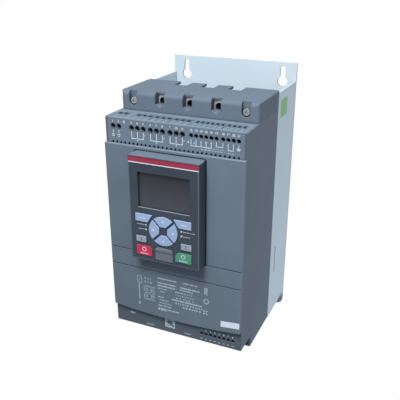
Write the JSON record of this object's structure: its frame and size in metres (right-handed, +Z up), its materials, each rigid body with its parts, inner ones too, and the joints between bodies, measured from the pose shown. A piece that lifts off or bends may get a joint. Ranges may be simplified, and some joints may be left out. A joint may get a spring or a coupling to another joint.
{
  "type": "soft starter",
  "caption": "Wall-mounted three-phase motor soft starter: slate housing on a pale sheet chassis with heat sink and fans, terminal blocks and a plug-in keypad with display.",
  "frame": {"origin": "on the wall plane (rear face of the mounting plate), in the middle of the width, level with the underside of the body", "axes": "X to the right seen from the front, Y from the front towards the wall, Z up"},
  "size_m": [0.15, 0.1805, 0.3105],
  "materials": {
    "pale_sheet": "smooth pale coating",
    "aluminium": "extruded",
    "slate_plastic": "fine texture",
    "panel_plastic": "fine texture",
    "zinc": "zinc plated",
    "dark_steel": "blackened",
    "black_plastic": "moulded",
    "board": "coated",
    "bezel_plastic": "fine texture",
    "band_red": "satin",
    "display": "polished",
    "key_grey": "soft touch",
    "key_blue": "soft touch",
    "stop_red": "soft touch",
    "start_green": "soft touch",
    "flap_grey": "satin",
    "light_clear": "polished",
    "module_plastic": "moulded",
    "copper": "bare copper"
  },
  "bodies": {
    "starter": {"rear_chassis": "pale_sheet", "heat_sink": "aluminium", "left_fan_frame": "black_plastic", "right_fan_frame": "black_plastic", "main_housing": "slate_plastic", "inner_frame": "slate_plastic", "line_terminal_cover": "slate_plastic", "load_terminal_cover": "slate_plastic", "control_terminal_cover": "panel_plastic", "front_cover": "slate_plastic", "cover_screws": "zinc", "line_terminal_1": "aluminium", "line_terminal_2": "aluminium", "line_terminal_3": "aluminium", "load_terminal_1": "aluminium", "load_terminal_2": "aluminium", "load_terminal_3": "aluminium", "clamp_screws": "dark_steel", "thyristor_module_1": "module_plastic", "thyristor_module_2": "module_plastic", "thyristor_module_3": "module_plastic", "line_busbar_1": "copper", "line_busbar_2": "copper", "line_busbar_3": "copper", "load_busbar_1": "copper", "load_busbar_2": "copper", "load_busbar_3": "copper", "bypass_contactor": "black_plastic", "current_transformer": "black_plastic", "power_board": "board", "control_board": "board", "supply_terminals": "black_plastic", "relay_terminals_1": "black_plastic", "relay_terminals_2": "black_plastic", "relay_terminals_3": "black_plastic", "input_terminals": "black_plastic", "output_terminals": "black_plastic", "comms_terminals": "black_plastic", "terminal_screws": "zinc", "keypad_shell": "slate_plastic", "keypad_bezel": "bezel_plastic", "keypad_band": "band_red", "display_window": "display", "display_module": "black_plastic", "keypad_board": "board", "status_lights": "light_clear"},
    "left_soft_key": {"left_soft_key": "key_blue"},
    "right_soft_key": {"right_soft_key": "key_blue"},
    "up_key": {"up_key": "key_blue"},
    "down_key": {"down_key": "key_blue"},
    "left_key": {"left_key": "key_blue"},
    "right_key": {"right_key": "key_blue"},
    "local_key": {"local_key": "key_grey"},
    "help_key": {"help_key": "key_grey"},
    "stop_key": {"stop_key": "stop_red"},
    "start_key": {"start_key": "start_green"},
    "port_flap": {"port_flap": "flap_grey"},
    "left_fan_rotor": {"left_fan_rotor": "black_plastic"},
    "right_fan_rotor": {"right_fan_rotor": "black_plastic"}
  },
  "joints": [
    {"name": "left_soft_key_press", "type": "slide", "parent": "starter", "child": "left_soft_key", "axis": [0, 1, 0], "range_m": [0, 0.0008], "stiffness_N_per_m": 600},
    {"name": "right_soft_key_press", "type": "slide", "parent": "starter", "child": "right_soft_key", "axis": [0, 1, 0], "range_m": [0, 0.0008], "stiffness_N_per_m": 600},
    {"name": "up_key_press", "type": "slide", "parent": "starter", "child": "up_key", "axis": [0, 1, 0], "range_m": [0, 0.0008], "stiffness_N_per_m": 600},
    {"name": "down_key_press", "type": "slide", "parent": "starter", "child": "down_key", "axis": [0, 1, 0], "range_m": [0, 0.0008], "stiffness_N_per_m": 600},
    {"name": "left_key_press", "type": "slide", "parent": "starter", "child": "left_key", "axis": [0, 1, 0], "range_m": [0, 0.0008], "stiffness_N_per_m": 600},
    {"name": "right_key_press", "type": "slide", "parent": "starter", "child": "right_key", "axis": [0, 1, 0], "range_m": [0, 0.0008], "stiffness_N_per_m": 600},
    {"name": "local_key_press", "type": "slide", "parent": "starter", "child": "local_key", "axis": [0, 1, 0], "range_m": [0, 0.0008], "stiffness_N_per_m": 600},
    {"name": "help_key_press", "type": "slide", "parent": "starter", "child": "help_key", "axis": [0, 1, 0], "range_m": [0, 0.0008], "stiffness_N_per_m": 600},
    {"name": "stop_key_press", "type": "slide", "parent": "starter", "child": "stop_key", "axis": [0, 1, 0], "range_m": [0, 0.0008], "stiffness_N_per_m": 600},
    {"name": "start_key_press", "type": "slide", "parent": "starter", "child": "start_key", "axis": [0, 1, 0], "range_m": [0, 0.0008], "stiffness_N_per_m": 600},
    {"name": "port_flap_swing", "type": "hinge", "parent": "starter", "child": "port_flap", "pos_m": [-0.0031, -0.17825, 0.11625], "axis": [1, 0, 0], "range_deg": [0, 95]},
    {"name": "left_fan_spin", "type": "hinge", "parent": "starter", "child": "left_fan_rotor", "pos_m": [-0.032, -0.032, 0.014], "axis": [0, 0, 1], "continuous": true},
    {"name": "right_fan_spin", "type": "hinge", "parent": "starter", "child": "right_fan_rotor", "pos_m": [0.032, -0.032, 0.014], "axis": [0, 0, 1], "continuous": true}
  ]
}
